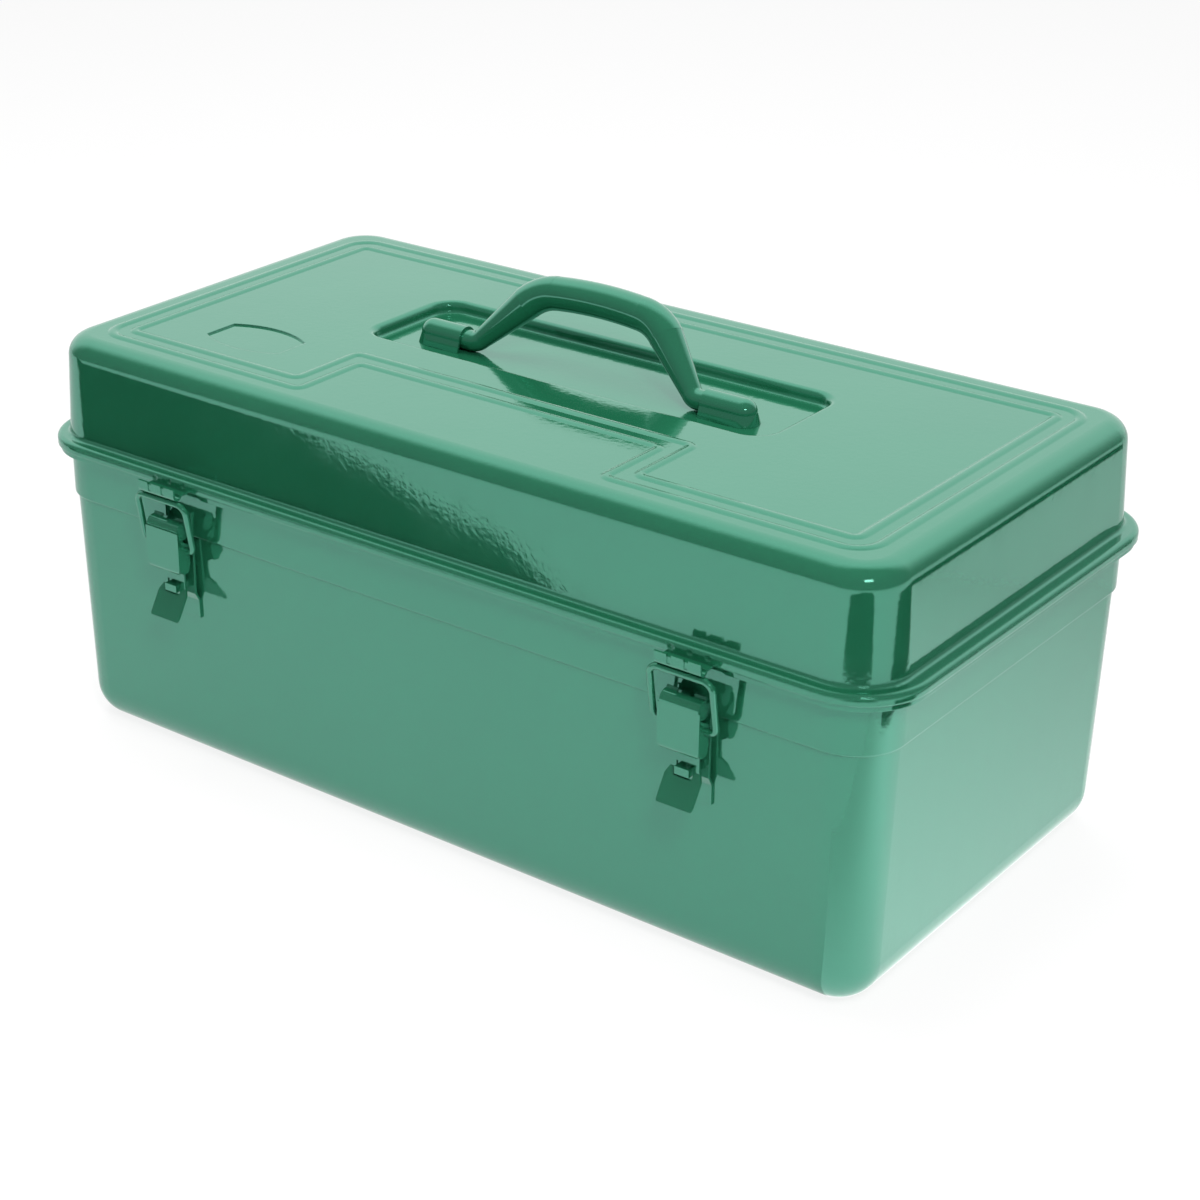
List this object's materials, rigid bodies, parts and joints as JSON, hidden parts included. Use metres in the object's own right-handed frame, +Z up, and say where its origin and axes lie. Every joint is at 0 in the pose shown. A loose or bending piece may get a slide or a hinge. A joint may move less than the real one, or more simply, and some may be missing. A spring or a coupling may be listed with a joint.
{
  "type": "metal toolbox",
  "caption": "Deep-drawn steel toolbox with a hinged lid, folding top handle, wire-bail latches on the front and a lift-out tray inside.",
  "frame": {"origin": "centre of the tub's flat underside", "axes": "+X along the length, to the right seen from the latches; +Y to the hinges; -Y is the front with the latches; +Z up"},
  "size_m": [0.46, 0.248, 0.2308],
  "materials": {
    "green_enamel": "gloss baked enamel",
    "bare_steel": "satin"
  },
  "bodies": {
    "base": {"base_shell": "green_enamel", "latch_base_left": "green_enamel", "latch_base_right": "green_enamel", "latch_pin_left": "green_enamel", "latch_pin_right": "green_enamel", "hinge_base_leaf_left": "green_enamel", "hinge_base_leaf_right": "green_enamel", "hinge_pin_left": "bare_steel", "hinge_pin_right": "bare_steel", "hinge_base_rivets": "green_enamel"},
    "lid": {"lid_shell": "green_enamel", "latch_strike_left": "green_enamel", "latch_strike_right": "green_enamel", "handle_saddle_left": "green_enamel", "handle_saddle_right": "green_enamel", "hinge_lid_leaf_left": "green_enamel", "hinge_lid_leaf_right": "green_enamel", "hinge_lid_rivets": "green_enamel"},
    "handle": {"handle": "green_enamel"},
    "lever_left": {"latch_lever_left": "green_enamel"},
    "bail_left": {"latch_bail_left": "green_enamel"},
    "lever_right": {"latch_lever_right": "green_enamel"},
    "bail_right": {"latch_bail_right": "green_enamel"},
    "tray": {"tray_shell": "green_enamel", "tray_divider": "green_enamel"}
  },
  "joints": [
    {"name": "lid_hinge", "type": "hinge", "parent": "base", "child": "lid", "pos_m": [0, 0.1205, 0.1389], "axis": [-1, 0, 0], "range_deg": [0, 100]},
    {"name": "handle_fold", "type": "hinge", "parent": "lid", "child": "handle", "pos_m": [0, 0.0054, 0.1948], "axis": [1, 0, 0], "range_deg": [-47, 91]},
    {"name": "latch_lever_left_turn", "type": "hinge", "parent": "base", "child": "lever_left", "pos_m": [-0.1394, -0.1185, 0.1242], "axis": [-1, 0, 0], "range_deg": [0, 118]},
    {"name": "latch_bail_left_turn", "type": "hinge", "parent": "lever_left", "child": "bail_left", "pos_m": [-0.1394, -0.118, 0.115], "axis": [-1, 0, 0], "range_deg": [-148, 0]},
    {"name": "latch_lever_right_turn", "type": "hinge", "parent": "base", "child": "lever_right", "pos_m": [0.1422, -0.1185, 0.1242], "axis": [-1, 0, 0], "range_deg": [0, 118]},
    {"name": "latch_bail_right_turn", "type": "hinge", "parent": "lever_right", "child": "bail_right", "pos_m": [0.1422, -0.118, 0.115], "axis": [-1, 0, 0], "range_deg": [-148, 0]},
    {"name": "tray_lift", "type": "slide", "parent": "base", "child": "tray", "axis": [0, 0, 1], "range_m": [0, 0.034]}
  ],
  "couplings": [
    {"joint": "latch_bail_left_turn", "follows": "latch_lever_left_turn", "ratio": -1.25},
    {"joint": "latch_bail_right_turn", "follows": "latch_lever_right_turn", "ratio": -1.25}
  ]
}
